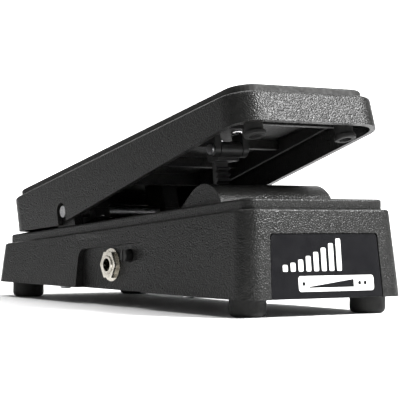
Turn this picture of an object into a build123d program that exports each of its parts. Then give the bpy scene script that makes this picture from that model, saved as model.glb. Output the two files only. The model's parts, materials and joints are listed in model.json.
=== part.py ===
from build123d import *
import os
from math import acos, atan2, ceil, cos, degrees, floor, pi, radians, sin, tan

# Volume pedal. Millimetres, +Z up, -Y towards the toe, +Y towards the heel, +X to the right.
# The origin is on the floor, in the middle of the base's length and width.

# ---------------------------------------------------------------- base housing
BASE_LENGTH = 241.3
TOE_Y, HEEL_Y = -BASE_LENGTH / 2, BASE_LENGTH / 2
BASE_HALF_WIDTH = 45.9
BASE_CORNER = 9.0
FOOT_HEIGHT = 8.0
SKIRT_Z = (48.65, 28.5)       # height of the ledge at the toe end and at the heel end
DECK_Z = (53.62, 33.34)       # height of the raised deck at the two ends
SIDE_LEAN, TOE_LEAN, HEEL_LEAN = 2.9, 4.4, 0.4
LEDGE = 3.4
WALL = 2.8
DECK_THICK = 3.0
HALF_WIDTH_TOP = BASE_HALF_WIDTH - SIDE_LEAN

# ---------------------------------------------------------------- treadle
# The treadle has its own level frame: its origin is the pivot and -y is the toe.
PIVOT_Y, PIVOT_Z = 51.86, 46.72
REST_ANGLE = 16.22            # the toe stands this many degrees above level at rest
TREADLE_TRAVEL = 10.5
TREADLE_HALF_WIDTH = 42.3
TREADLE_TOE, TREADLE_HEEL = -168.0, 59.3
TREADLE_TOP = (8.0, 23.0)     # height of the top face at the toe and at the heel
TREADLE_EDGE_Z = -6.2
HEEL_CUT_Y, HEEL_CUT_RISE = 5.3, 11.98
TREADLE_CORNER = 14.5
TREADLE_DRAFT = 0.55          # the sides lean in by this much; the ends are upright
TREADLE_TOP_THICK = 3.0
MAT_INSET, MAT_HEIGHT = 3.7, 4.1
ROD_R, ROD_HALF_LENGTH = 3.0, 41.2
ROD_SLOT_R, ROD_SLOT_TOP = 4.25, 4.6

# ---------------------------------------------------------------- rack and pinion
# The pinion's centre and the clevis pin lie on one circle about the pivot, so the rack tilts by
# half of the treadle's angle and the pinion turns in proportion to the treadle.
RACK_X = -16.4
RACK_CIRCLE_R = 120.0
PINION_ANGLE, CLEVIS_ANGLE = -2.73, 14.2
TEETH, MODULE, PRESSURE_ANGLE = 12, 0.85, 25.0
ADDENDUM, DEDENDUM, BACKLASH = 0.75, 0.95, 0.2
PITCH = pi * MODULE
PITCH_R = TEETH * MODULE / 2
RACK_BACK = 4.0               # from the pitch line to the rack's smooth back
RACK_HALF_WIDTH, PINION_HALF_WIDTH = 3.65, 4.0
RACK_LENGTH = 41.0
EYE_R, EYE_HALF_WIDTH = 3.6, 6.0
CLEVIS_PIN_R = 1.6
LUG_THICK = 3.1
LUG_INNER = EYE_HALF_WIDTH + 0.4
SHAFT_R = 3.0
GUIDE_R, GUIDE_GAP = 2.5, 0.3

# ---------------------------------------------------------------- jacks and trimmer
PANEL_X = 41.3                # outer face of the jack panel
PANEL_INNER = 38.9
RECESS_Y = (-34.0, 29.5)
RECESS_TOP = (32.3, 27.3)
JACK_Y, JACK_Z = 0.5, 20.3
JACK_BORE_R, JACK_THREAD_R = 3.25, 4.7
JACK_NOSE_X = 44.6
TRIMMER_Y, TRIMMER_Z = -16.5, 25.3
BOARD_Z, BOARD_THICK = 29.5, 1.6

# ---------------------------------------------------------------- places of repeated pieces
FEET = [(34.3, -106.0), (-34.3, -106.0), (34.3, 102.8), (-34.3, 102.8)]
PLATE_SCREWS = [(x, y) for x in (-34.5, 34.5) for y in (-58.0, 60.0)]
BRACKET_SCREWS = [(10.0, -90.0), (10.0, -46.0)]
BOARD_SCREWS = [(0.0, -12.0), (0.0, 16.0)]
BUMPERS = [(-26.0, -155.0), (26.0, -155.0)]
HEEL_PADS = [(-24.0, 46.0), (24.0, 46.0)]
SADDLE_X, SADDLE_HALF_WIDTH, SADDLE_HALF_LENGTH = 22.0, 4.5, 8.5
EAR_X, EAR_HALF_WIDTH = 36.0, 2.5


def along(values, y, start=TOE_Y, end=HEEL_Y):
    """Height at y of a straight slope between its heights at the two ends."""
    return values[0] + (values[1] - values[0]) * (y - start) / (end - start)


def tilted_outline(half_width, y_toe, y_heel, corner, z_toe, z_heel):
    """Rounded rectangle, seen from above, on a plane that slopes from toe to heel."""
    slope = atan2(z_heel - z_toe, y_heel - y_toe)
    middle = (0, (y_toe + y_heel) / 2, (z_toe + z_heel) / 2)
    plane = Plane(origin=middle, x_dir=(1, 0, 0), z_dir=(0, -sin(slope), cos(slope)))
    return plane * RectangleRounded(2 * half_width, (y_heel - y_toe) / cos(slope), corner)


def block(x, y, z):
    """Box from its low and high limits along each axis."""
    size = [high - low for low, high in (x, y, z)]
    centre = [(low + high) / 2 for low, high in (x, y, z)]
    return Pos(*centre) * Box(*size)


def rod_x(radius, x_low, x_high, y, z):
    """Round bar along X."""
    middle = Pos((x_low + x_high) / 2, y, z)
    return middle * Rot(0, 90, 0) * Cylinder(radius, x_high - x_low)


def post(radius, x, y, z_low, z_high):
    """Round bar along Z."""
    return Pos(x, y, (z_low + z_high) / 2) * Cylinder(radius, z_high - z_low)


def yz_prism(outline, x_low, x_high):
    """Solid between two values of X from an outline drawn in Y and Z."""
    return extrude(Plane.YZ.offset(x_low) * outline, x_high - x_low, dir=(1, 0, 0))


def screw(shank_r, length, head_r, head_height):
    """Pan-head screw along Z: the head's seat is at z = 0 and the shank points up."""
    head = post(head_r, 0, 0, -head_height, 0)
    head = fillet(head.edges().sort_by(Axis.Z)[0], head_height * 0.45)
    slot = Pos(0, 0, -head_height) * (
        Box(head_r * 1.1, head_r * 0.28, head_height) + Box(head_r * 0.28, head_r * 1.1, head_height))
    return head - slot + post(shank_r, 0, 0, 0, length)


def group(shapes):
    """Separate solids kept in one node."""
    return Compound(children=list(shapes))


def at_rest(shape):
    """Moves a shape from the treadle's level frame to where it is at rest."""
    return Location((0, PIVOT_Y, PIVOT_Z), (-REST_ANGLE, 0, 0)) * shape


def mirrored(shape):
    return mirror(shape, about=Plane.YZ)


# ================================================================ base
def skirt(shrink, top_drop):
    """Tapered body of the base; shrunk by the wall, it is the hollow inside."""
    toe, heel = TOE_Y + shrink, HEEL_Y - shrink
    toe_top, heel_top = toe + TOE_LEAN, heel - HEEL_LEAN
    corner = BASE_CORNER - shrink
    bottom = tilted_outline(BASE_HALF_WIDTH - shrink, toe, heel, corner, FOOT_HEIGHT, FOOT_HEIGHT)
    top = tilted_outline(HALF_WIDTH_TOP - shrink, toe_top, heel_top, corner,
                         along(SKIRT_Z, toe_top) - top_drop, along(SKIRT_Z, heel_top) - top_drop)
    return loft([bottom, top], ruled=True)


def riser(inset, z_low, top_drop):
    """Raised deck; inset by the wall, it is the hollow under the deck."""
    toe, heel = TOE_Y + TOE_LEAN + inset, HEEL_Y - HEEL_LEAN - inset
    corner = BASE_CORNER - inset
    outlines = [tilted_outline(HALF_WIDTH_TOP - inset, toe, heel, corner,
                               along(heights, toe) - drop, along(heights, heel) - drop)
                for heights, drop in ((SKIRT_Z, z_low), (DECK_Z, top_drop))]
    return loft(outlines, ruled=True)


HUMP_REAR, HUMP_CREST, HUMP_FRONT = -43.5, -69.0, -83.2
HUMP_CREST_Z, HUMP_HALF_WIDTH, HUMP_WALL = 59.7, 32.5, 2.4


def hump(shell, half_width):
    """Bell-shaped cover over the potentiometer, drawn in Y and Z; shell shrinks it."""
    rear, front = HUMP_REAR - shell, HUMP_FRONT + shell
    foot = DECK_THICK + 0.5 if shell else 1.5
    points = [(rear, along(DECK_Z, rear) - foot), (rear - 9.0, along(DECK_Z, rear) + 4.4 - shell * 0.7),
              (HUMP_CREST + 8.0, HUMP_CREST_Z - 1.9 - shell), (HUMP_CREST, HUMP_CREST_Z - shell),
              (HUMP_CREST - 7.8, HUMP_CREST_Z - 2.5 - shell), (front, along(DECK_Z, front) - foot)]
    curve = Spline(*points)
    sill = Line(points[-1], points[0])
    return yz_prism(make_face(curve + sill), -half_width, half_width)


def recess_outline():
    """Jack recess on the side of the base, drawn in Y and Z and open at the bottom."""
    corners = [(RECESS_Y[0], -5), (RECESS_Y[0], RECESS_TOP[0]), (RECESS_Y[1], RECESS_TOP[1]), (RECESS_Y[1], -5)]
    outline = Polygon(*corners, align=None)
    return fillet(outline.vertices().sort_by(Axis.Y)[-2:], 5)


FRONT_LEAN = atan2(TOE_LEAN, SKIRT_Z[0] - FOOT_HEIGHT)
LABEL_HALF_WIDTH = (32.0, 30.5)
LABEL_HEIGHT, LABEL_RECESS, LABEL_THICK, LABEL_GAP = 29.5, 1.3, 1.0, 0.5


def label_block(depth_low, depth_high, gap):
    """Slab parallel to the sloping front face, between two depths below that face."""
    plane = Plane(origin=(0, TOE_Y, FOOT_HEIGHT), x_dir=(1, 0, 0),
                  z_dir=(0, -cos(FRONT_LEAN), sin(FRONT_LEAN)))
    foot = 0.4 if gap else -3.0
    low, high = (half - gap for half in LABEL_HALF_WIDTH)
    top = LABEL_HEIGHT - gap
    outline = Polygon((-low, foot), (low, foot), (high, top), (-high, top), align=None)
    upper = outline.vertices().sort_by(Axis.Y)[-2:]
    face = plane.offset(-depth_high) * fillet(upper, 1.6)
    return extrude(face, depth_high - depth_low, dir=plane.z_dir)


SLOT_HALF_WIDTH, SLOT_Y = 11.3, (-72.3, -53.0)
PLATE_THICK, PLATE_GAP = 1.5, 0.3
BRACKET_Z, BRACKET_THICK = 14.4, 1.6
BUSHING_OUTER_R, BUSHING_INNER_R = 4.4, ROD_R + 0.04


def ear(x):
    """Lug on the deck that holds one of the pivot's bushings."""
    foot = along(DECK_Z, PIVOT_Y) - 2.5
    sides = Polygon((PIVOT_Y - 10, foot), (PIVOT_Y + 10, foot), (PIVOT_Y + 5.9, PIVOT_Z + 1),
                    (PIVOT_Y - 5.9, PIVOT_Z + 1), align=None)
    outline = sides + Pos(PIVOT_Y, PIVOT_Z) * Circle(6.2)
    return yz_prism(outline, x - EAR_HALF_WIDTH, x + EAR_HALF_WIDTH)


def base_housing():
    body = skirt(0, 0)
    body = fillet(body.faces().sort_by(Axis.Z)[-1].edges(), 1.2)
    deck = riser(LEDGE, 1.5, 0)
    deck = fillet(deck.faces().sort_by(Axis.Z)[-1].edges(), 1.2)
    body = body + deck + hump(0, HUMP_HALF_WIDTH)
    body = body - skirt(WALL, DECK_THICK) - riser(LEDGE + WALL, DECK_THICK + 2, DECK_THICK)
    body = body - hump(HUMP_WALL, HUMP_HALF_WIDTH - HUMP_WALL)

    pads = block((PANEL_INNER, 43.4), (-37, 33), (FOOT_HEIGHT, 35.2))
    recess = yz_prism(recess_outline(), PANEL_X, 60)
    body = body + pads + mirrored(pads) - recess - mirrored(recess)
    jack_hole = rod_x(JACK_THREAD_R + 0.1, PANEL_INNER - 1, PANEL_X + 1, JACK_Y, JACK_Z)
    trimmer_hole = rod_x(3.4, -PANEL_X - 1, -PANEL_INNER + 1, TRIMMER_Y, TRIMMER_Z)
    body = body - jack_hole - mirrored(jack_hole) - trimmer_hole
    body = body - label_block(-5, LABEL_RECESS, 0)

    for x in (-EAR_X, EAR_X):
        body = body + ear(x)
        body = body - rod_x(BUSHING_OUTER_R, x - EAR_HALF_WIDTH, x + EAR_HALF_WIDTH, PIVOT_Y, PIVOT_Z)

    boss_rows = [(FEET, 4.0, FOOT_HEIGHT + PLATE_THICK, 2.0, 12),
                 (PLATE_SCREWS, 3.2, FOOT_HEIGHT + PLATE_THICK, 1.5, 9),
                 (BRACKET_SCREWS, 3.5, BRACKET_Z + BRACKET_THICK, 1.5, 9),
                 (BOARD_SCREWS, 3.0, BOARD_Z + BOARD_THICK, 1.25, 6)]
    for places, radius, z_low, hole_r, depth in boss_rows:
        for x, y in places:
            body = body + post(radius, x, y, z_low, along(DECK_Z, y) - DECK_THICK / 2)
            body = body - post(hole_r, x, y, z_low, z_low + depth)

    slot = block((RACK_X - SLOT_HALF_WIDTH, RACK_X + SLOT_HALF_WIDTH), SLOT_Y, (35, 70))
    return body - slot



def bottom_plate():
    inset = WALL + PLATE_GAP
    outline = RectangleRounded(2 * (BASE_HALF_WIDTH - inset), BASE_LENGTH - 2 * inset, BASE_CORNER - inset)
    plate = extrude(Pos(0, 0, FOOT_HEIGHT) * outline, PLATE_THICK)
    notch = block((PANEL_INNER - PLATE_GAP, 50), (-37.3, 33.3), (0, 20))
    plate = plate - notch - mirrored(notch)
    for places, hole_r in ((FEET, 2.1), (PLATE_SCREWS, 1.6)):
        for x, y in places:
            plate = plate - post(hole_r, x, y, 0, 20)
    return plate


FOOT_R, FOOT_WELL_R, FOOT_WELL_TOP, WASHER_THICK = 8.4, 4.3, 4.5, 1.0


def rubber_foot(x, y):
    foot = post(FOOT_R, x, y, 0, FOOT_HEIGHT)
    foot = fillet(foot.edges().sort_by(Axis.Z)[0], 2.5)
    well = post(FOOT_WELL_R, x, y, 0, FOOT_WELL_TOP + WASHER_THICK)
    return foot - well - post(2.1, x, y, 0, FOOT_HEIGHT)


def foot_washer(x, y):
    top = FOOT_WELL_TOP + WASHER_THICK
    return post(FOOT_WELL_R, x, y, FOOT_WELL_TOP, top) - post(2.1, x, y, FOOT_WELL_TOP, top)


def pivot_bushing(x):
    """Flanged bearing sleeve, pressed into an ear from the inside."""
    side = 1 if x > 0 else -1
    inner = x - side * EAR_HALF_WIDTH
    sleeve = rod_x(BUSHING_OUTER_R, x - EAR_HALF_WIDTH, x + EAR_HALF_WIDTH, PIVOT_Y, PIVOT_Z)
    flange = rod_x(5.7, min(inner, inner - side * 0.8), max(inner, inner - side * 0.8), PIVOT_Y, PIVOT_Z)
    return sleeve + flange - rod_x(BUSHING_INNER_R, x - 5, x + 5, PIVOT_Y, PIVOT_Z)


# ================================================================ jacks, trimmer and board
JACK_BODY_X = (14.9, PANEL_INNER)
SLEEVE_INNER_X = 33.9


def jack_contacts():
    """Tip and sleeve springs of a jack on the +X side, with their solder pins."""
    springs = []
    for x_pin, half_angle in ((18.5, 1), (24.5, -1)):
        spring_y = JACK_Y + half_angle * 4.1
        strip = block((x_pin - 1, x_pin + 9.0), (spring_y - 0.25, spring_y + 0.25), (JACK_Z - 1.5, JACK_Z + 1.5))
        pin = block((x_pin - 0.6, x_pin + 0.6), (spring_y - 0.25, spring_y + 0.25),
                    (JACK_Z, BOARD_Z + BOARD_THICK + 1.2))
        springs.append(strip + pin)
    return group(springs)


def jack_body():
    body = block(JACK_BODY_X, (JACK_Y - 8, JACK_Y + 8), (12.2, BOARD_Z))
    body = body - rod_x(JACK_THREAD_R, SLEEVE_INNER_X, PANEL_INNER, JACK_Y, JACK_Z)
    body = body - rod_x(5.6, JACK_BODY_X[0] + 1.6, SLEEVE_INNER_X, JACK_Y, JACK_Z)
    return body - jack_contacts()


def jack_bushing():
    tube = rod_x(JACK_THREAD_R, SLEEVE_INNER_X, JACK_NOSE_X, JACK_Y, JACK_Z)
    nose = tube.edges().filter_by(GeomType.CIRCLE).sort_by(Axis.X)[-1]
    tube = chamfer(nose, 0.4)
    return tube - rod_x(JACK_BORE_R, SLEEVE_INNER_X - 1, JACK_NOSE_X + 1, JACK_Y, JACK_Z)


def ring_x(outer_r, inner_r, x_low, x_high, y, z):
    return rod_x(outer_r, x_low, x_high, y, z) - rod_x(inner_r, x_low, x_high, y, z)


def hex_nut(across_flats, hole_r, x_low, x_high, y, z):
    outline = RegularPolygon(across_flats / 2, 6, major_radius=False)
    prism = yz_prism(Pos(y, z) * outline, x_low, x_high)
    return prism - rod_x(hole_r, x_low, x_high, y, z)


WASHER_X, NUT_X = (PANEL_X, PANEL_X + 0.6), (PANEL_X + 0.6, PANEL_X + 2.7)


def trimmer_body():
    body = block((-PANEL_INNER, -31.5), (TRIMMER_Y - 5, TRIMMER_Y + 5), (TRIMMER_Z - 4.8, BOARD_Z))
    return body - rod_x(1.55, -40, -33.5, TRIMMER_Y, TRIMMER_Z)


def trimmer_shaft():
    knob = rod_x(3.0, -45.3, -PANEL_INNER - 0.3, TRIMMER_Y, TRIMMER_Z)
    knob = fillet(knob.edges().filter_by(GeomType.CIRCLE).sort_by(Axis.X)[0], 0.5)
    groove = block((-46, -44.2), (TRIMMER_Y - 0.5, TRIMMER_Y + 0.5), (TRIMMER_Z - 3.5, TRIMMER_Z + 3.5))
    return knob - groove + rod_x(1.5, -PANEL_INNER - 0.3, -33.8, TRIMMER_Y, TRIMMER_Z)


def circuit_board():
    board = block((-35, 35), (-26, 22), (BOARD_Z, BOARD_Z + BOARD_THICK))
    for x, y in BOARD_SCREWS:
        board = board - post(1.4, x, y, 0, 60)
    contacts = jack_contacts()
    return board - contacts - mirrored(contacts)


def board_parts():
    """Resistors and film capacitors on the upper face of the board."""
    top = BOARD_Z + BOARD_THICK
    capacitors = [block((x - 3.6, x + 3.6), (y - 1.4, y + 1.4), (top, top + 5)) for x, y in ((-22, -16), (-22, 14))]
    resistors = [rod_x(1.15, x - 3.2, x + 3.2, y, top + 1.15) for x, y in ((22, -18), (22, -12), (22, 14))]
    return group(capacitors + resistors)


# ================================================================ potentiometer and pinion
def on_circle(angle):
    """Point of the rack's circle about the pivot, angle in degrees above the toe direction."""
    turn = radians(angle)
    return PIVOT_Y - RACK_CIRCLE_R * cos(turn), PIVOT_Z + RACK_CIRCLE_R * sin(turn)


POT_Y, POT_Z = on_circle(PINION_ANGLE)
RACK_TILT = (PINION_ANGLE + CLEVIS_ANGLE) / 2
RACK_REACH = 2 * RACK_CIRCLE_R * sin(radians((CLEVIS_ANGLE - PINION_ANGLE) / 2))
LEG_X = (-8.0, -6.4)
POT_BODY_R, POT_BODY_X = 8.5, (LEG_X[1], 4.6)
POT_THREAD_R = 4.0
GUIDE_TILT = radians(RACK_TILT - TREADLE_TRAVEL / 4)
GUIDE_REACH = PITCH_R + RACK_BACK + GUIDE_GAP + GUIDE_R
GUIDE_Y = POT_Y + GUIDE_REACH * cos(GUIDE_TILT)
GUIDE_Z = POT_Z - GUIDE_REACH * sin(GUIDE_TILT)


def pot_bracket():
    """Angle of sheet steel: the leg holds the potentiometer, the flange screws to two bosses."""
    leg = block(LEG_X, (-77.5, -53.2), (BRACKET_Z, 48.2))
    flange = block((LEG_X[0], 14.5), (-95, -41), (BRACKET_Z, BRACKET_Z + BRACKET_THICK))
    bracket = leg + flange - rod_x(POT_THREAD_R, -10, 0, POT_Y, POT_Z)
    bracket = bracket - rod_x(1.5, -10, 0, GUIDE_Y, GUIDE_Z)
    for x, y in BRACKET_SCREWS:
        bracket = bracket - post(1.6, x, y, 0, 30)
    return bracket


def pot_body():
    can = rod_x(POT_BODY_R, *POT_BODY_X, POT_Y, POT_Z)
    can = fillet(can.edges().filter_by(GeomType.CIRCLE).sort_by(Axis.X)[-1], 1.0)
    tab = block((-5.4, -1.4), (POT_Y - 7, POT_Y + 7), (POT_Z - 11.5, POT_Z - 5))
    return can + tab - rod_x(SHAFT_R + 0.3, POT_BODY_X[0], 2.5, POT_Y, POT_Z)


def pot_bushing():
    return ring_x(POT_THREAD_R, SHAFT_R + 0.04, -11.6, LEG_X[1], POT_Y, POT_Z)


POT_LUG_Y = [POT_Y + shift for shift in (-5.0, 0.0, 5.0)]


def pot_lugs():
    lugs = [block((-3.8, -3.3), (y - 1.1, y + 1.1), (POT_Z - 16, POT_Z - 11.5)) for y in POT_LUG_Y]
    return group(lugs)


def pot_wires():
    """Three insulated wires from the potentiometer's lugs to the circuit board."""
    wires = []
    for index, y in enumerate(POT_LUG_Y):
        run_z, board_y, wire_x = 17.6 + 1.9 * index, -17.5 - 2.5 * index, -2.4
        route = FilletPolyline((wire_x, y, POT_Z - 12.5), (wire_x, y, run_z), (wire_x, board_y, run_z),
                               (wire_x, board_y, BOARD_Z), radius=2.2)
        wires.append(sweep(Plane(route @ 0, z_dir=route % 0) * Circle(0.75), path=route))
    return group(wires)


def pot_shaft():
    shaft = rod_x(SHAFT_R, -21.2, 2.2, POT_Y, POT_Z)
    return chamfer(shaft.edges().filter_by(GeomType.CIRCLE).sort_by(Axis.X)[0], 0.5)


def involute(angle):
    return tan(angle) - angle


def flank():
    """Radius and half-angle of points along one flank of a pinion tooth, root to tip."""
    pressure = radians(PRESSURE_ANGLE)
    base_r = PITCH_R * cos(pressure)
    half_at_pitch = (PITCH / 2 - BACKLASH) / 2 / PITCH_R
    radii = [base_r + (PITCH_R + ADDENDUM - base_r) * step / 4 for step in range(5)]
    halves = [half_at_pitch + involute(pressure) - involute(acos(min(base_r / r, 1))) for r in radii]
    return [(PITCH_R - DEDENDUM, halves[0])] + list(zip(radii, halves))


def pinion():
    """Involute pinion with a tooth gap facing the rack's pitch point."""
    points = []
    for tooth in range(TEETH):
        middle = 2 * pi * (tooth + 0.5) / TEETH - radians(RACK_TILT)
        left = [(r, middle - half) for r, half in flank()]
        right = [(r, middle + half) for r, half in reversed(flank())]
        points += [(POT_Y + r * cos(turn), POT_Z + r * sin(turn)) for r, turn in left + right]
    outline = Polygon(*points, align=None)
    gear = yz_prism(outline, RACK_X - PINION_HALF_WIDTH, RACK_X + PINION_HALF_WIDTH)
    return gear - rod_x(SHAFT_R, -30, 0, POT_Y, POT_Z)


def rack():
    """Toothed bar hung from the clevis pin; its own frame has the pin at its origin."""
    root = PITCH_R + DEDENDUM
    back = PITCH_R + RACK_BACK
    bar = block((-RACK_HALF_WIDTH, RACK_HALF_WIDTH), (root, back), (-RACK_LENGTH, -3))
    tip_half = PITCH / 4 - ADDENDUM * tan(radians(PRESSURE_ANGLE))
    root_half = PITCH / 4 + DEDENDUM * tan(radians(PRESSURE_ANGLE))
    first = ceil((RACK_REACH - RACK_LENGTH + root_half) / PITCH)
    last = floor((RACK_REACH - 8.0) / PITCH)
    for index in range(first, last + 1):
        z = index * PITCH - RACK_REACH
        tooth = Polygon((root + 0.1, z - root_half), (root, z - root_half), (PITCH_R - ADDENDUM, z - tip_half),
                        (PITCH_R - ADDENDUM, z + tip_half), (root, z + root_half), (root + 0.1, z + root_half),
                        align=None)
        bar = bar + yz_prism(tooth, -RACK_HALF_WIDTH, RACK_HALF_WIDTH)
    bar = fillet(bar.edges().filter_by(Axis.Z).group_by(Axis.Y)[-1], 0.8)
    head = block((-EYE_HALF_WIDTH, EYE_HALF_WIDTH), (0, back), (-5.2, EYE_R - 1.4))
    head = fillet(head.edges().filter_by(Axis.X).group_by(Axis.Y)[-1], 1.2)
    eye = rod_x(EYE_R, -EYE_HALF_WIDTH, EYE_HALF_WIDTH, 0, 0)
    hole = rod_x(CLEVIS_PIN_R + 0.05, -10, 10, 0, 0)
    pin_y, pin_z = on_circle(CLEVIS_ANGLE)
    return Location((RACK_X, pin_y, pin_z), (-RACK_TILT, 0, 0)) * (bar + head + eye - hole)


def rack_guide():
    """Nylon post with two cheeks; it keeps the rack in mesh and straight."""
    neck = rod_x(3.4, -11.4, LEG_X[0], GUIDE_Y, GUIDE_Z)
    nose = rod_x(GUIDE_R, -21.4, -11.4, GUIDE_Y, GUIDE_Z)
    cheeks = [rod_x(4.5, x, x + 0.95, GUIDE_Y, GUIDE_Z) for x in (-12.35, -21.4)]
    return neck + nose + cheeks[0] + cheeks[1] - rod_x(1.5, -19, 0, GUIDE_Y, GUIDE_Z)


# ================================================================ treadle
def treadle_outline(inset, z_toe, z_heel, lean):
    toe, heel = TREADLE_TOE + inset, TREADLE_HEEL - inset
    return tilted_outline(TREADLE_HALF_WIDTH - inset - lean, toe, heel, TREADLE_CORNER - inset,
                          along((z_toe, z_heel), toe, TREADLE_TOE, TREADLE_HEEL),
                          along((z_toe, z_heel), heel, TREADLE_TOE, TREADLE_HEEL))


def treadle_solid(inset, top_drop, bottom_z):
    """Tapered block of the treadle; inset by the wall, it is the hollow underneath."""
    bottom = treadle_outline(inset, bottom_z, bottom_z, 0)
    top = treadle_outline(inset, TREADLE_TOP[0] - top_drop, TREADLE_TOP[1] - top_drop, TREADLE_DRAFT)
    return loft([bottom, top], ruled=True)


def ceiling_z(y):
    """Height of the underside of the treadle's top."""
    return along(TREADLE_TOP, y, TREADLE_TOE, TREADLE_HEEL) - TREADLE_TOP_THICK


CLEVIS_Y = -RACK_CIRCLE_R * cos(radians(CLEVIS_ANGLE - REST_ANGLE))
CLEVIS_Z = RACK_CIRCLE_R * sin(radians(CLEVIS_ANGLE - REST_ANGLE))
CLEVIS_PLATE_Y = (CLEVIS_Y - 12.5, CLEVIS_Y + 11.5)
CLEVIS_PAD, CLEVIS_PLATE = 3.0, 2.4
CLEVIS_HALF_WIDTH = LUG_INNER + LUG_THICK
CLEVIS_SCREWS_Y = (CLEVIS_Y - 8.8, CLEVIS_Y + 7.6)
BUMPER_SEAT_Z, BUMPER_BOTTOM_Z = -3.0, -9.75
HEEL_PAD_Z = (2.75, 5.5)
SADDLE_SCREWS_Y = (-5.6, 5.6)
SADDLE_BOTTOM_Z = -5.2


def under_ceiling(drop):
    """Large block whose underside is the treadle's ceiling, lowered by drop."""
    slope = degrees(atan2(TREADLE_TOP[1] - TREADLE_TOP[0], TREADLE_HEEL - TREADLE_TOE))
    place = Location((0, 0, ceiling_z(0) - drop), (slope, 0, 0))
    return place * (Pos(0, 0, 30) * Box(200, 600, 60))


def treadle_shell():
    shell = treadle_solid(0, 0, TREADLE_EDGE_Z)
    shell = fillet(shell.faces().sort_by(Axis.Z)[-1].edges(), 1.3)
    shell = shell - treadle_solid(WALL, TREADLE_TOP_THICK, TREADLE_EDGE_Z)
    run = 70.0
    wedge = Polygon((HEEL_CUT_Y, TREADLE_EDGE_Z), (HEEL_CUT_Y + run, TREADLE_EDGE_Z),
                    (HEEL_CUT_Y + run, TREADLE_EDGE_Z + run * tan(radians(HEEL_CUT_RISE))), align=None)
    shell = shell - yz_prism(wedge, -60, 60)

    stiffeners = []
    for y, z_low in ((-140, 1.5), (-95, 5.0), (-58, 7.0), (-22, 8.5), (26, 11.5)):
        stiffeners.append(block((-40, 40), (y - 1.1, y + 1.1), (z_low, 30)))
    for x in (-33, 33):
        stiffeners.append(block((x - 1, x + 1), (-150, -22), (3.0, 30)))
    stiffeners.append(block((RACK_X - CLEVIS_HALF_WIDTH - 1, RACK_X + CLEVIS_HALF_WIDTH + 1),
                            CLEVIS_PLATE_Y, (-10, 30)) & under_ceiling(CLEVIS_PAD))
    for x, y in BUMPERS:
        stiffeners.append(post(4.5, x, y, BUMPER_SEAT_Z, 12))
    for x, y in HEEL_PADS:
        stiffeners.append(post(4.5, x, y, HEEL_PAD_Z[1], 25))
    for x in (-SADDLE_X, SADDLE_X):
        stiffeners.append(block((x - SADDLE_HALF_WIDTH, x + SADDLE_HALF_WIDTH),
                                (-SADDLE_HALF_LENGTH, SADDLE_HALF_LENGTH), (0, 25)))
    hollow = treadle_solid(WALL / 2, TREADLE_TOP_THICK / 2, TREADLE_EDGE_Z)
    for stiffener in stiffeners:
        shell = shell + (stiffener & hollow)

    shell = shell - block((-30, 30), (-6, 6), (-8, 0))
    shell = shell - rod_x(ROD_R, -ROD_HALF_LENGTH, ROD_HALF_LENGTH, 0, 0)
    slot = Pos(0, ROD_SLOT_TOP - ROD_SLOT_R) * Circle(ROD_SLOT_R)
    slot = slot + Pos(0, -5 + ROD_SLOT_TOP - ROD_SLOT_R) * Rectangle(2 * ROD_SLOT_R, 10)
    for x_low in (-45.0, 38.6):
        shell = shell - yz_prism(slot, x_low, x_low + 6.4)
    for x in (-SADDLE_X, SADDLE_X):
        for y in SADDLE_SCREWS_Y:
            shell = shell - post(1.5, x, y, -1, 9)
    for x, y in BUMPERS:
        shell = shell - post(1.5, x, y, -4, 4)
    for y in CLEVIS_SCREWS_Y:
        shell = shell - post(1.5, RACK_X, y, -10, ceiling_z(y) + 1)
    return shell


def pivot_saddle(x):
    """Cap that clamps the pivot rod to the treadle."""
    cap = block((x - SADDLE_HALF_WIDTH, x + SADDLE_HALF_WIDTH),
                (-SADDLE_HALF_LENGTH + 0.4, SADDLE_HALF_LENGTH - 0.4), (SADDLE_BOTTOM_Z, 0))
    cap = cap - rod_x(ROD_R, x - 10, x + 10, 0, 0)
    for y in SADDLE_SCREWS_Y:
        cap = cap - post(1.5, x, y, -10, 1) - post(2.7, x, y, SADDLE_BOTTOM_Z - 1, SADDLE_BOTTOM_Z + 1.7)
    return cap


def clevis_seat_z(y):
    """Height of the flat spot that a clevis screw's head sits on."""
    return ceiling_z(y) - CLEVIS_PAD - CLEVIS_PLATE


def rack_clevis():
    """Plate under the treadle with two lugs that carry the rack's pin."""
    plate = block((RACK_X - CLEVIS_HALF_WIDTH, RACK_X + CLEVIS_HALF_WIDTH), CLEVIS_PLATE_Y, (-10, 30))
    plate = plate & under_ceiling(CLEVIS_PAD + CLEVIS_PLATE)
    lug_outline = Polygon((CLEVIS_Y - 5.5, 12), (CLEVIS_Y + 5.5, 12), (CLEVIS_Y + EYE_R, CLEVIS_Z),
                          (CLEVIS_Y - EYE_R, CLEVIS_Z), align=None)
    lug_outline = lug_outline + Pos(CLEVIS_Y, CLEVIS_Z) * Circle(EYE_R)
    clevis = plate
    for side in (-1, 1):
        inner = RACK_X + side * LUG_INNER
        outer = RACK_X + side * CLEVIS_HALF_WIDTH
        clevis = clevis + yz_prism(lug_outline, min(inner, outer), max(inner, outer))
    clevis = clevis - under_ceiling(CLEVIS_PAD)
    clevis = clevis - rod_x(CLEVIS_PIN_R, -40, 10, CLEVIS_Y, CLEVIS_Z)
    for y in CLEVIS_SCREWS_Y:
        seat = clevis_seat_z(y)
        clevis = clevis - post(1.5, RACK_X, y, -10, 20) - post(2.9, RACK_X, y, seat - 1, seat)
    return clevis


def clevis_screw(y):
    return Pos(RACK_X, y, clevis_seat_z(y)) * screw(1.5, CLEVIS_PLATE + CLEVIS_PAD, 2.7, 1.7)


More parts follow.
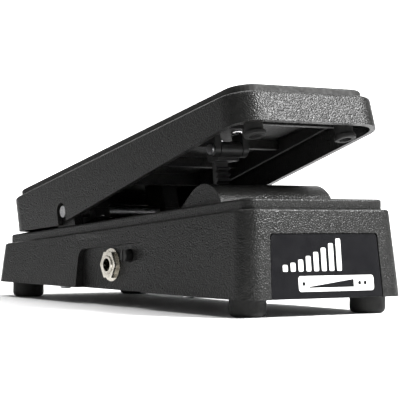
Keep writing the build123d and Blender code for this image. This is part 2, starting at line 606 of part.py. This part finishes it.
def clevis_pin():
    pin = rod_x(CLEVIS_PIN_R, RACK_X - CLEVIS_HALF_WIDTH - 0.2, RACK_X + CLEVIS_HALF_WIDTH + 1.0, CLEVIS_Y, CLEVIS_Z)
    head = rod_x(2.6, RACK_X - CLEVIS_HALF_WIDTH - 1.1, RACK_X - CLEVIS_HALF_WIDTH, CLEVIS_Y, CLEVIS_Z)
    return pin + head


def clevis_clip():
    """Retaining ring on the free end of the clevis pin."""
    outer = RACK_X + CLEVIS_HALF_WIDTH
    ring = ring_x(2.8, CLEVIS_PIN_R, outer, outer + 0.6, CLEVIS_Y, CLEVIS_Z)
    gap = block((outer - 1, outer + 2), (CLEVIS_Y - 0.8, CLEVIS_Y + 0.8), (CLEVIS_Z - 4, CLEVIS_Z))
    return ring - gap


def tread_mat():
    """Rubber mat bonded to the treadle's top."""
    toe, heel = TREADLE_TOE + MAT_INSET, TREADLE_HEEL - MAT_INSET
    half_width = TREADLE_HALF_WIDTH - MAT_INSET - TREADLE_DRAFT
    outlines = [tilted_outline(half_width - lean, toe + lean, heel - lean, TREADLE_CORNER - MAT_INSET,
                               along(TREADLE_TOP, toe + lean, TREADLE_TOE, TREADLE_HEEL) + rise,
                               along(TREADLE_TOP, heel - lean, TREADLE_TOE, TREADLE_HEEL) + rise)
                for rise, lean in ((0, 0), (MAT_HEIGHT, 0.3))]
    mat = loft(outlines, ruled=True)
    return fillet(mat.faces().sort_by(Axis.Z)[-1].edges(), 0.8)


def toe_bumper(x, y):
    """Stepped rubber stop that meets the deck when the toe is down."""
    neck = post(4.3, x, y, BUMPER_SEAT_Z - 4.2, BUMPER_SEAT_Z)
    foot = post(5.2, x, y, BUMPER_BOTTOM_Z, BUMPER_SEAT_Z - 4.2)
    foot = fillet(foot.edges().filter_by(GeomType.CIRCLE), 0.8)
    well = post(3.0, x, y, BUMPER_BOTTOM_Z - 1, BUMPER_BOTTOM_Z + 3.2)
    return neck + foot - well - post(1.5, x, y, -12, 0)


def treadle_pieces():
    saddle_screws = [Pos(x, y, SADDLE_BOTTOM_Z + 1.7) * screw(1.5, 10, 2.6, 1.5)
                     for x in (-SADDLE_X, SADDLE_X) for y in SADDLE_SCREWS_Y]
    heel_pads = [fillet(post(4.0, x, y, *HEEL_PAD_Z).edges().sort_by(Axis.Z)[0], 0.5) for x, y in HEEL_PADS]
    bumper_screws = [Pos(x, y, BUMPER_BOTTOM_Z + 3.2) * screw(1.5, 9, 2.6, 1.8) for x, y in BUMPERS]
    return {
        "treadle_shell": treadle_shell(),
        "tread_mat": tread_mat(),
        "pivot_rod": rod_x(ROD_R, -ROD_HALF_LENGTH, ROD_HALF_LENGTH, 0, 0),
        "pivot_saddles": group(pivot_saddle(x) for x in (-SADDLE_X, SADDLE_X)),
        "saddle_screws": group(saddle_screws),
        "rack_clevis": rack_clevis(),
        "clevis_screws": group(clevis_screw(y) for y in CLEVIS_SCREWS_Y),
        "clevis_pin": clevis_pin(),
        "clevis_clip": clevis_clip(),
        "toe_bumpers": group(toe_bumper(x, y) for x, y in BUMPERS),
        "bumper_screws": group(bumper_screws),
        "heel_pads": group(heel_pads),
    }


def jack_pieces(prefix, place):
    """The pieces of one jack; place moves them from the +X side to where they belong."""
    pieces = {
        "body": jack_body(),
        "bushing": jack_bushing(),
        "contacts": jack_contacts(),
        "washer": ring_x(8.2, JACK_THREAD_R, *WASHER_X, JACK_Y, JACK_Z),
        "nut": hex_nut(12.7, JACK_THREAD_R, *NUT_X, JACK_Y, JACK_Z),
    }
    return {f"{prefix}_jack_{name}": place(shape) for name, shape in pieces.items()}


def base_pieces():
    guide_screw = Location((LEG_X[1], GUIDE_Y, GUIDE_Z), (0, -90, 0)) * screw(1.5, 11, 2.6, 1.8)
    return {
        "base_housing": base_housing(),
        "bottom_plate": bottom_plate(),
        "rubber_feet": group(rubber_foot(x, y) for x, y in FEET),
        "foot_washers": group(foot_washer(x, y) for x, y in FEET),
        "foot_screws": group(Pos(x, y, FOOT_WELL_TOP) * screw(2.0, 16, 3.6, 2.4) for x, y in FEET),
        "plate_screws": group(Pos(x, y, FOOT_HEIGHT) * screw(1.5, 10, 2.9, 1.8) for x, y in PLATE_SCREWS),
        "label_plate": label_block(LABEL_RECESS - LABEL_THICK, LABEL_RECESS, LABEL_GAP),
        "pivot_bushings": group(pivot_bushing(x) for x in (-EAR_X, EAR_X)),
        "trimmer_body": trimmer_body(),
        "trimmer_shaft": trimmer_shaft(),
        "circuit_board": circuit_board(),
        "board_parts": board_parts(),
        "board_screws": group(Pos(x, y, BOARD_Z) * screw(1.25, 7, 2.3, 1.5) for x, y in BOARD_SCREWS),
        "pot_bracket": pot_bracket(),
        "bracket_screws": group(Pos(x, y, BRACKET_Z) * screw(1.5, 10, 2.7, 1.8) for x, y in BRACKET_SCREWS),
        "pot_body": pot_body(),
        "pot_bushing": pot_bushing(),
        "pot_washer": ring_x(6.2, POT_THREAD_R, -8.5, LEG_X[0], POT_Y, POT_Z),
        "pot_nut": hex_nut(10.0, POT_THREAD_R, -10.5, -8.5, POT_Y, POT_Z),
        "pot_lugs": pot_lugs(),
        "pot_wires": pot_wires(),
        "pot_shaft": pot_shaft(),
        "pinion": pinion(),
        "rack_guide": rack_guide(),
        "guide_screw": guide_screw,
        "rack": rack(),
    }


pieces = base_pieces()
pieces.update(jack_pieces("input", lambda shape: shape))
pieces.update(jack_pieces("output", mirrored))
pieces.update({name: at_rest(shape) for name, shape in treadle_pieces().items()})

os.makedirs("parts", exist_ok=True)
for name, shape in pieces.items():
    export_step(shape, f"parts/{name}.step")

travel = radians(TREADLE_TRAVEL)
gamma = radians(CLEVIS_ANGLE - PINION_ANGLE)
stroke = 2 * RACK_CIRCLE_R * (sin(gamma / 2) - sin((gamma - travel) / 2))
print("pinion centre", round(POT_Y, 4), round(POT_Z, 4), "clevis pin", [round(v, 4) for v in on_circle(CLEVIS_ANGLE)])
print("pinion turn per treadle turn", round(0.5 - stroke / (PITCH_R * travel), 4))
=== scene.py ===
import json
from math import cos, pi, sin, sqrt

import bmesh
import bpy
from mathutils import Matrix, Vector


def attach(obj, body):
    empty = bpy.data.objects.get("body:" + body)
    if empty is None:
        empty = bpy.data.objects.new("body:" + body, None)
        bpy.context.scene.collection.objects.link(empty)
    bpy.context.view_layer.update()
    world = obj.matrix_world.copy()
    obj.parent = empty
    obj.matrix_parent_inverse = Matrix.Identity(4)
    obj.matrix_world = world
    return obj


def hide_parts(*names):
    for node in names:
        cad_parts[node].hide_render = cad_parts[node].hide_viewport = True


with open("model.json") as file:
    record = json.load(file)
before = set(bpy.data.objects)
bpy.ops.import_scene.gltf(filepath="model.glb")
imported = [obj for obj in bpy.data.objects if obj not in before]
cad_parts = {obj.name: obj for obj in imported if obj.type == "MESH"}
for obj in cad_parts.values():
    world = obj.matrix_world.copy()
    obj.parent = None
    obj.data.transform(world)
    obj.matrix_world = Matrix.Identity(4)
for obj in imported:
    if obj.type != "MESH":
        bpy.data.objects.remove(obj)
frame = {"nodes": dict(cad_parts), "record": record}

MM = 0.001
nodes = frame["nodes"]
slot_of = {row["node"]: row["material_slot"] for row in frame["record"]["subparts"]}
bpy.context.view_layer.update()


# ---------------------------------------------------------------- camera
# The camera stands low, off the toe end's left corner, with a long lens.
CAMERA_PLACE = Vector((-449.6, -690.2, 45.0)) * MM
CAMERA_YAW, CAMERA_PITCH, CAMERA_ROLL = 0.5831, 0.0116, 0.0044
FOCAL_WIDTHS = 4.03           # focal length over the picture's width
SENSOR = 36.0
LENS_SHIFT = (0.0205, -0.0083)


def add_camera():
    level_reach = cos(CAMERA_PITCH)
    forward = Vector((sin(CAMERA_YAW) * level_reach, cos(CAMERA_YAW) * level_reach, sin(CAMERA_PITCH)))
    level = forward.cross(Vector((0, 0, 1))).normalized()
    upright = level.cross(forward)
    right = level * cos(CAMERA_ROLL) + upright * sin(CAMERA_ROLL)
    up = upright * cos(CAMERA_ROLL) - level * sin(CAMERA_ROLL)
    data = bpy.data.cameras.new("camera")
    data.sensor_width = SENSOR
    data.lens = FOCAL_WIDTHS * SENSOR
    data.shift_x, data.shift_y = LENS_SHIFT
    data.clip_start, data.clip_end = 0.01, 20.0
    camera = bpy.data.objects.new("camera", data)
    bpy.context.scene.collection.objects.link(camera)
    turn = Matrix((right, up, -forward)).transposed().to_4x4()
    camera.matrix_world = Matrix.Translation(CAMERA_PLACE) @ turn
    bpy.context.scene.camera = camera


# ---------------------------------------------------------------- materials
NOISE_DETAIL, NOISE_ROUGHNESS = 3.0, 0.55
PEBBLE_SMOOTHNESS = 0.35


class Surface:
    """A Principled material and short helpers that add procedural detail to it."""

    def __init__(self, name, metallic=0.0, specular=0.5, coat=0.0):
        self.material = bpy.data.materials.new(name)
        self.material.use_nodes = True
        self.tree = self.material.node_tree
        self.shader = self.tree.nodes["Principled BSDF"]
        self.shader.inputs["Metallic"].default_value = metallic
        self.shader.inputs["Specular IOR Level"].default_value = specular
        self.shader.inputs["Coat Weight"].default_value = coat
        self.place = self.tree.nodes.new("ShaderNodeTexCoord").outputs["Object"]
        self.height = None

    def link(self, a, b):
        self.tree.links.new(a, b)

    def noise(self, size_mm, stretch=(1, 1, 1)):
        """Noise whose features are about size_mm across."""
        mapping = self.tree.nodes.new("ShaderNodeMapping")
        mapping.inputs["Scale"].default_value = stretch
        self.link(self.place, mapping.inputs["Vector"])
        texture = self.tree.nodes.new("ShaderNodeTexNoise")
        texture.inputs["Scale"].default_value = 1 / (size_mm * MM)
        texture.inputs["Detail"].default_value = NOISE_DETAIL
        texture.inputs["Roughness"].default_value = NOISE_ROUGHNESS
        self.link(mapping.outputs["Vector"], texture.inputs["Vector"])
        return texture.outputs["Fac"]

    def pebbles(self, size_mm):
        """Rounded cells about size_mm across, high in their middles."""
        texture = self.tree.nodes.new("ShaderNodeTexVoronoi")
        texture.feature = "SMOOTH_F1"
        texture.inputs["Scale"].default_value = 1 / (size_mm * MM)
        texture.inputs["Smoothness"].default_value = PEBBLE_SMOOTHNESS
        self.link(self.place, texture.inputs["Vector"])
        turned = self.tree.nodes.new("ShaderNodeMath")
        turned.operation = "SUBTRACT"
        turned.inputs[0].default_value = 1.0
        self.link(texture.outputs["Distance"], turned.inputs[1])
        return turned.outputs["Value"]

    def remap(self, value, low, high, start=0.3, end=0.7):
        node = self.tree.nodes.new("ShaderNodeMapRange")
        node.inputs["From Min"].default_value = start
        node.inputs["From Max"].default_value = end
        node.inputs["To Min"].default_value = low
        node.inputs["To Max"].default_value = high
        self.link(value, node.inputs["Value"])
        return node.outputs["Result"]

    def colour(self, value, dark, light, start=0.3, end=0.7):
        """Colour from dark to light as value runs from start to end."""
        mix = self.tree.nodes.new("ShaderNodeMix")
        mix.data_type = "RGBA"
        mix.inputs["A"].default_value = (*dark, 1)
        mix.inputs["B"].default_value = (*light, 1)
        self.link(self.remap(value, 0, 1, start, end), mix.inputs["Factor"])
        self.link(mix.outputs["Result"], self.shader.inputs["Base Color"])
        return self

    def roughness(self, value, low, high):
        self.link(self.remap(value, low, high), self.shader.inputs["Roughness"])
        return self

    def bump(self, value, height_mm, strength=1.0):
        """Adds a relief of about height_mm to those already there."""
        node = self.tree.nodes.new("ShaderNodeBump")
        node.inputs["Strength"].default_value = strength
        node.inputs["Distance"].default_value = height_mm * MM
        self.link(value, node.inputs["Height"])
        if self.height:
            self.link(self.height, node.inputs["Normal"])
        self.height = node.outputs["Normal"]
        self.link(self.height, self.shader.inputs["Normal"])
        return self


def grained_plastic():
    """Black moulded plastic with a leathery pebble grain."""
    surface = Surface("grained_plastic", specular=0.25)
    pebbles = surface.pebbles(0.75)
    surface.colour(surface.noise(3.0), (0.007, 0.007, 0.0067), (0.014, 0.014, 0.0133))
    surface.roughness(surface.noise(1.1), 0.27, 0.43)
    surface.bump(pebbles, 0.22, 1.0).bump(surface.noise(0.45), 0.08, 0.9)
    return surface.material


def rubber(name, dark, light, grain_mm):
    """Matt rubber with a fine grain."""
    surface = Surface(name, specular=0.22)
    surface.colour(surface.noise(6.0), dark, light)
    surface.roughness(surface.noise(1.6), 0.52, 0.74)
    surface.bump(surface.noise(grain_mm), 0.035, 0.6)
    return surface.material


def gloss_plate():
    """Polished black plate with the faint ripple of a moulded face."""
    surface = Surface("gloss_plate", specular=0.4, coat=0.1)
    surface.shader.inputs["Coat Roughness"].default_value = 0.05
    surface.colour(surface.noise(9.0), (0.006, 0.006, 0.007), (0.010, 0.010, 0.011))
    surface.roughness(surface.noise(5.0), 0.07, 0.16)
    surface.bump(surface.noise(7.0), 0.02, 0.3)
    return surface.material


def white_ink():
    surface = Surface("white_ink", specular=0.4)
    surface.colour(surface.noise(1.2), (0.78, 0.78, 0.76), (0.9, 0.9, 0.88))
    surface.roughness(surface.noise(0.8), 0.35, 0.5)
    surface.bump(surface.noise(0.4), 0.01, 0.4)
    return surface.material


def moulded_nylon():
    surface = Surface("moulded_nylon", specular=0.3)
    surface.colour(surface.noise(4.0), (0.006, 0.006, 0.006), (0.013, 0.013, 0.0125))
    surface.roughness(surface.noise(2.0), 0.38, 0.52)
    surface.bump(surface.noise(0.5), 0.02, 0.5)
    return surface.material


def metal(name, dark, light, rough, brushed=(1, 1, 1), grain_mm=0.8):
    """Plated or brushed metal; brushed stretches the grain along an axis."""
    surface = Surface(name, metallic=1.0)
    surface.colour(surface.noise(2.5), dark, light)
    surface.roughness(surface.noise(grain_mm, stretch=brushed), *rough)
    surface.bump(surface.noise(grain_mm, stretch=brushed), 0.008, 0.5)
    return surface.material


def powder_coat():
    surface = Surface("powder_coat", specular=0.45)
    surface.colour(surface.noise(5.0), (0.012, 0.012, 0.013), (0.024, 0.024, 0.025))
    surface.roughness(surface.noise(1.5), 0.4, 0.62)
    surface.bump(surface.noise(0.7), 0.06, 0.6)
    return surface.material


def board_mask():
    surface = Surface("board_mask", specular=0.5)
    surface.colour(surface.noise(1.4, stretch=(1, 0.2, 1)), (0.012, 0.07, 0.025), (0.02, 0.15, 0.05))
    surface.roughness(surface.noise(2.0), 0.25, 0.4)
    surface.bump(surface.noise(1.0, stretch=(1, 0.2, 1)), 0.02, 0.4)
    return surface.material


def coloured_plastic(name, dark, light):
    """Smooth glossy plastic of small electrical parts."""
    surface = Surface(name)
    surface.colour(surface.noise(2.0), dark, light)
    surface.roughness(surface.noise(1.5), 0.3, 0.5)
    surface.bump(surface.noise(0.6), 0.015, 0.4)
    return surface.material


def make_materials():
    """One material for each of the record's slots."""
    steel, bright = (0.42, 0.42, 0.43), (0.62, 0.62, 0.63)
    return {
        "abs_black": grained_plastic(),
        "rubber_black": rubber("foot_rubber", (0.010, 0.010, 0.010), (0.020, 0.020, 0.019), 0.6),
        "gloss_black": gloss_plate(),
        "plate_steel": powder_coat(),
        "zinc_steel": metal("zinc_steel", steel, bright, (0.26, 0.42), brushed=(0.15, 1, 1)),
        "bright_steel": metal("bright_steel", (0.6, 0.6, 0.61), (0.78, 0.78, 0.79), (0.12, 0.26)),
        "nickel": metal("nickel", (0.5, 0.47, 0.41), (0.72, 0.69, 0.62), (0.13, 0.3)),
        "contact_brass": metal("contact_brass", (0.5, 0.38, 0.16), (0.72, 0.56, 0.28), (0.2, 0.35)),
        "nylon_black": moulded_nylon(),
        "board_green": board_mask(),
        "component_tan": coloured_plastic("component_tan", (0.3, 0.18, 0.06), (0.5, 0.33, 0.13)),
        "wire_red": coloured_plastic("wire_red", (0.25, 0.02, 0.015), (0.45, 0.05, 0.04)),
    }


def dress(piece, material):
    piece.data.materials.clear()
    piece.data.materials.append(material)


# ---------------------------------------------------------------- mesh helpers
class Plane:
    """A flat frame on a CAD face: u runs along +X, v up the face and w out of it."""

    def __init__(self, node, towards):
        mesh = nodes[node].data
        facing = [face for face in mesh.polygons if face.normal.dot(towards) > 0.95]
        total = sum((face.normal * face.area for face in facing), Vector())
        self.w = total.normalized()
        self.u = Vector((1, 0, 0))
        self.v = self.w.cross(self.u).normalized()
        centre = sum((face.center * face.area for face in facing), Vector())
        self.origin = centre / sum(face.area for face in facing)
        points = [self.local(vertex.co) for vertex in mesh.vertices]
        self.low = Vector([min(point[axis] for point in points) for axis in range(3)])
        self.high = Vector([max(point[axis] for point in points) for axis in range(3)])

    def local(self, point):
        offset = point - self.origin
        return Vector((offset.dot(self.u), offset.dot(self.v), offset.dot(self.w)))

    def world(self, u, v, w=0.0):
        return self.origin + self.u * u + self.v * v + self.w * w


def new_piece(name, mesh_builder, body, material):
    """Object from a bmesh, riding on a body and dressed in a material."""
    bmesh.ops.recalc_face_normals(mesh_builder, faces=mesh_builder.faces)
    mesh = bpy.data.meshes.new(name)
    mesh_builder.to_mesh(mesh)
    mesh_builder.free()
    piece = bpy.data.objects.new(name, mesh)
    bpy.context.scene.collection.objects.link(piece)
    dress(piece, material)
    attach(piece, body)
    return piece


def rounded_loop(half_u, low_v, high_v, corner, steps=8):
    """Points of a rounded rectangle, anticlockwise."""
    corners = ((half_u, high_v, 0), (-half_u, high_v, 1), (-half_u, low_v, 2), (half_u, low_v, 3))
    points = []
    for u, v, quarter in corners:
        centre_u = u - corner * (1 if u > 0 else -1)
        centre_v = v - corner * (1 if v == high_v else -1)
        for step in range(steps + 1):
            angle = (quarter + step / steps) * pi / 2
            points.append((centre_u + corner * cos(angle), centre_v + corner * sin(angle)))
    return points


def stack_loops(builder, plane, loops):
    """Skin through closed loops of (points, w), capped at both ends."""
    rings = [[builder.verts.new(plane.world(u, v, w)) for u, v in points] for points, w in loops]
    for lower, upper in zip(rings, rings[1:]):
        count = len(lower)
        for index in range(count):
            after = (index + 1) % count
            builder.faces.new((lower[index], lower[after], upper[after], upper[index]))
    builder.faces.new(rings[-1])
    builder.faces.new(list(reversed(rings[0])))


# ---------------------------------------------------------------- tread mat
MAT_EDGE_ROUND, MAT_BORDER, MAT_FIELD_DEPTH = 0.9 * MM, 4.5 * MM, 1.1 * MM
MAT_EDGE_STEPS, MAT_CORNER = 5, 10.8 * MM
BORDER_BEVEL, BORDER_DROP, FIELD_LEAN = 0.3 * MM, 0.25 * MM, 0.2 * MM
RIB_PITCH, RIB_WIDTH, RIB_BEVEL = 5.6 * MM, 3.4 * MM, 0.5 * MM
RIB_END_GAP, RIB_SUNK, RIB_CORNER_STEPS = 1.6 * MM, 0.1 * MM, 5


def rib_loop(half_length, middle, shrink):
    """Outline of one cross rib, drawn in by shrink for its rounded top."""
    half_width = RIB_WIDTH / 2
    return rounded_loop(half_length - shrink, middle - half_width + shrink, middle + half_width - shrink,
                        half_width * 0.9 - shrink, RIB_CORNER_STEPS)


def build_mat(material):
    """Rubber mat with a raised smooth border and a field of cross ribs."""
    plane = Plane("tread_mat", Vector((0, 0, 1)))
    half_u, low_v, high_v = plane.high.x, plane.low.y, plane.high.y
    thickness = plane.high.z - plane.low.z
    builder = bmesh.new()

    def inset(distance):
        return rounded_loop(half_u - distance, low_v + distance, high_v - distance, MAT_CORNER - distance)

    loops = [(inset(0), -thickness), (inset(0), -MAT_EDGE_ROUND * 1.2)]
    for step in range(1, MAT_EDGE_STEPS + 1):
        angle = step / MAT_EDGE_STEPS * pi / 2
        distance = MAT_EDGE_ROUND * (1 - cos(angle)) + 0.05 * MM
        loops.append((inset(distance), -MAT_EDGE_ROUND * (1 - sin(angle))))
    loops += [(inset(MAT_BORDER - BORDER_BEVEL), 0), (inset(MAT_BORDER), -BORDER_DROP),
              (inset(MAT_BORDER + FIELD_LEAN), -MAT_FIELD_DEPTH)]
    stack_loops(builder, plane, loops)

    field_low, field_high = low_v + MAT_BORDER, high_v - MAT_BORDER
    field_corner = MAT_CORNER - MAT_BORDER
    count = int((field_high - field_low - RIB_WIDTH) / RIB_PITCH)
    start = (field_low + field_high) / 2 - (count - 1) * RIB_PITCH / 2
    for index in range(count):
        middle = start + index * RIB_PITCH
        reach = min(middle - field_low, field_high - middle)
        cut = max(0.0, field_corner - reach)
        corner_cut = field_corner - sqrt(max(field_corner ** 2 - cut ** 2, 0))
        half_length = half_u - MAT_BORDER - RIB_END_GAP - corner_cut
        foot = rib_loop(half_length, middle, 0)
        rib = [(foot, -MAT_FIELD_DEPTH - RIB_SUNK), (foot, -RIB_BEVEL)]
        for step in (0.35, 0.7, 1.0):
            shrink = RIB_BEVEL * (1 - cos(step * pi / 2))
            rib.append((rib_loop(half_length, middle, shrink), -RIB_BEVEL * (1 - sin(step * pi / 2))))
        stack_loops(builder, plane, rib)
    mat = new_piece("ribbed_tread_mat", builder, "treadle", material)
    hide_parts("tread_mat")


# ---------------------------------------------------------------- front plate marks
INK_THICK, INK_SUNK, RAMP_LIFT = 0.06 * MM, 0.02 * MM, 0.03 * MM
BAR_COUNT, BAR_WIDTH, BAR_STEP, BAR_CORNER = 8, 2.7 * MM, 4.35 * MM, 0.6 * MM
BARS_LEFT, BARS_FOOT = -24.5 * MM, 12.0 * MM
BAR_LOWEST, BAR_RISE, BAR_CURVE = 3.0, 11.6, 1.3
BADGE_CENTRE, BADGE_HALF, BADGE_CORNER = 5.2 * MM, 21.5 * MM, 1.4 * MM
BADGE_V = (2.9 * MM, 9.9 * MM)
RAMP_U, RAMP_V, RAMP_TOE = (-10.5 * MM, 15.0 * MM), (4.6 * MM, 8.2 * MM), 0.5 * MM
DOTS_U, DOT_R, DOT_STEPS = (-13.4, 18.4, 21.6), 0.9 * MM, 24


def ink_shape(builder, plane, points):
    """Thin printed patch on the plate, from its outline in u and v."""
    stack_loops(builder, plane, [(points, plane.high.z - INK_SUNK), (points, plane.high.z + INK_THICK)])


def disc_points(centre_u, centre_v):
    angles = [2 * pi * step / DOT_STEPS for step in range(DOT_STEPS)]
    return [(centre_u + DOT_R * cos(angle), centre_v + DOT_R * sin(angle)) for angle in angles]


def shifted(points, shift):
    return [(u + shift, v) for u, v in points]


def build_marks(material, dark):
    """Generic level bars over a white bar that carries a dark ramp: more as the toe goes down."""
    plane = Plane("label_plate", Vector((0, -1, 0)))
    foot = plane.low.y
    white = bmesh.new()
    low = foot + BARS_FOOT
    for index in range(BAR_COUNT):
        height = (BAR_LOWEST + BAR_RISE * (index / (BAR_COUNT - 1)) ** BAR_CURVE) * MM
        loop = rounded_loop(BAR_WIDTH / 2, low, low + height, BAR_CORNER, 4)
        ink_shape(white, plane, shifted(loop, BARS_LEFT + index * BAR_STEP + BAR_WIDTH / 2))
    badge = rounded_loop(BADGE_HALF, foot + BADGE_V[0], foot + BADGE_V[1], BADGE_CORNER, 6)
    ink_shape(white, plane, shifted(badge, BADGE_CENTRE))
    new_piece("level_marks", white, "base", material)

    ramp = bmesh.new()
    low, high = (foot + v for v in RAMP_V)
    left, right = RAMP_U
    shapes = [[(left, low), (right, low), (right, high), (left, low + RAMP_TOE)]]
    shapes += [disc_points(centre * MM, (low + high) / 2) for centre in DOTS_U]
    ink_top = plane.high.z + INK_THICK
    for shape in shapes:
        stack_loops(ramp, plane, [(shape, ink_top - RAMP_LIFT), (shape, ink_top + RAMP_LIFT)])
    new_piece("ramp_mark", ramp, "base", dark)


# ---------------------------------------------------------------- stage and light
FLOOR_REACH = 6.0
BACKDROP_AWAY, BACKDROP_HALF_WIDTH, BACKDROP_Z = 1.6, 1.0, (-0.002, 1.2)


def add_floor():
    builder = bmesh.new()
    bmesh.ops.create_grid(builder, x_segments=2, y_segments=2, size=FLOOR_REACH)
    mesh = bpy.data.meshes.new("floor")
    builder.to_mesh(mesh)
    builder.free()
    floor = bpy.data.objects.new("floor", mesh)
    bpy.context.scene.collection.objects.link(floor)
    surface = Surface("floor_paper", specular=0.2)
    surface.colour(surface.noise(400.0), (0.86, 0.86, 0.86), (0.9, 0.9, 0.9))
    surface.roughness(surface.noise(50.0), 0.8, 0.95)
    dress(floor, surface.material)


def add_backdrop():
    """White lit card behind the object, square to the camera's view."""
    forward = Vector((sin(CAMERA_YAW), cos(CAMERA_YAW), 0))
    across = forward.cross(Vector((0, 0, 1)))
    centre = forward * BACKDROP_AWAY
    low, high = BACKDROP_Z
    mesh = bpy.data.meshes.new("backdrop")
    corners = [centre + across * BACKDROP_HALF_WIDTH * side + Vector((0, 0, height))
               for side, height in ((-1, low), (1, low), (1, high), (-1, high))]
    mesh.from_pydata(corners, [], [(0, 1, 2, 3)])
    backdrop = bpy.data.objects.new("backdrop", mesh)
    bpy.context.scene.collection.objects.link(backdrop)
    surface = Surface("backdrop_paper", specular=0.0)
    surface.colour(surface.noise(400.0), (0.86, 0.86, 0.86), (0.9, 0.9, 0.9))
    surface.shader.inputs["Emission Color"].default_value = (1, 1, 1, 1)
    surface.shader.inputs["Emission Strength"].default_value = 1.0
    dress(backdrop, surface.material)


def add_area(name, place, target, size, power):
    data = bpy.data.lights.new(name, "AREA")
    data.shape = "RECTANGLE"
    data.size, data.size_y = size
    data.energy = power
    light = bpy.data.objects.new(name, data)
    bpy.context.scene.collection.objects.link(light)
    place, target = Vector(place), Vector(target)
    turn = (target - place).to_track_quat("-Z", "Y").to_matrix().to_4x4()
    light.matrix_world = Matrix.Translation(place) @ turn


def add_world(strength):
    world = bpy.data.worlds.new("studio")
    world.use_nodes = True
    background = world.node_tree.nodes["Background"]
    background.inputs["Color"].default_value = (1, 1, 1, 1)
    background.inputs["Strength"].default_value = strength
    bpy.context.scene.world = world


bpy.context.scene.view_settings.view_transform = "Standard"
add_camera()
materials = make_materials()
for name, node in nodes.items():
    dress(node, materials[slot_of[name]])
build_mat(rubber("mat_rubber", (0.014, 0.014, 0.0135), (0.026, 0.026, 0.025), 0.5))
build_marks(white_ink(), materials["gloss_black"])
add_floor()
add_backdrop()
add_world(0.22)
add_area("floor_wash", (0.3, 0.45, 1.6), (0.3, 0.5, 0.0), (1.6, 1.6), 40)
add_area("front_softbox", (0.24, -0.435, 0.39), (-0.01, -0.115, 0.1), (0.16, 0.12), 8)
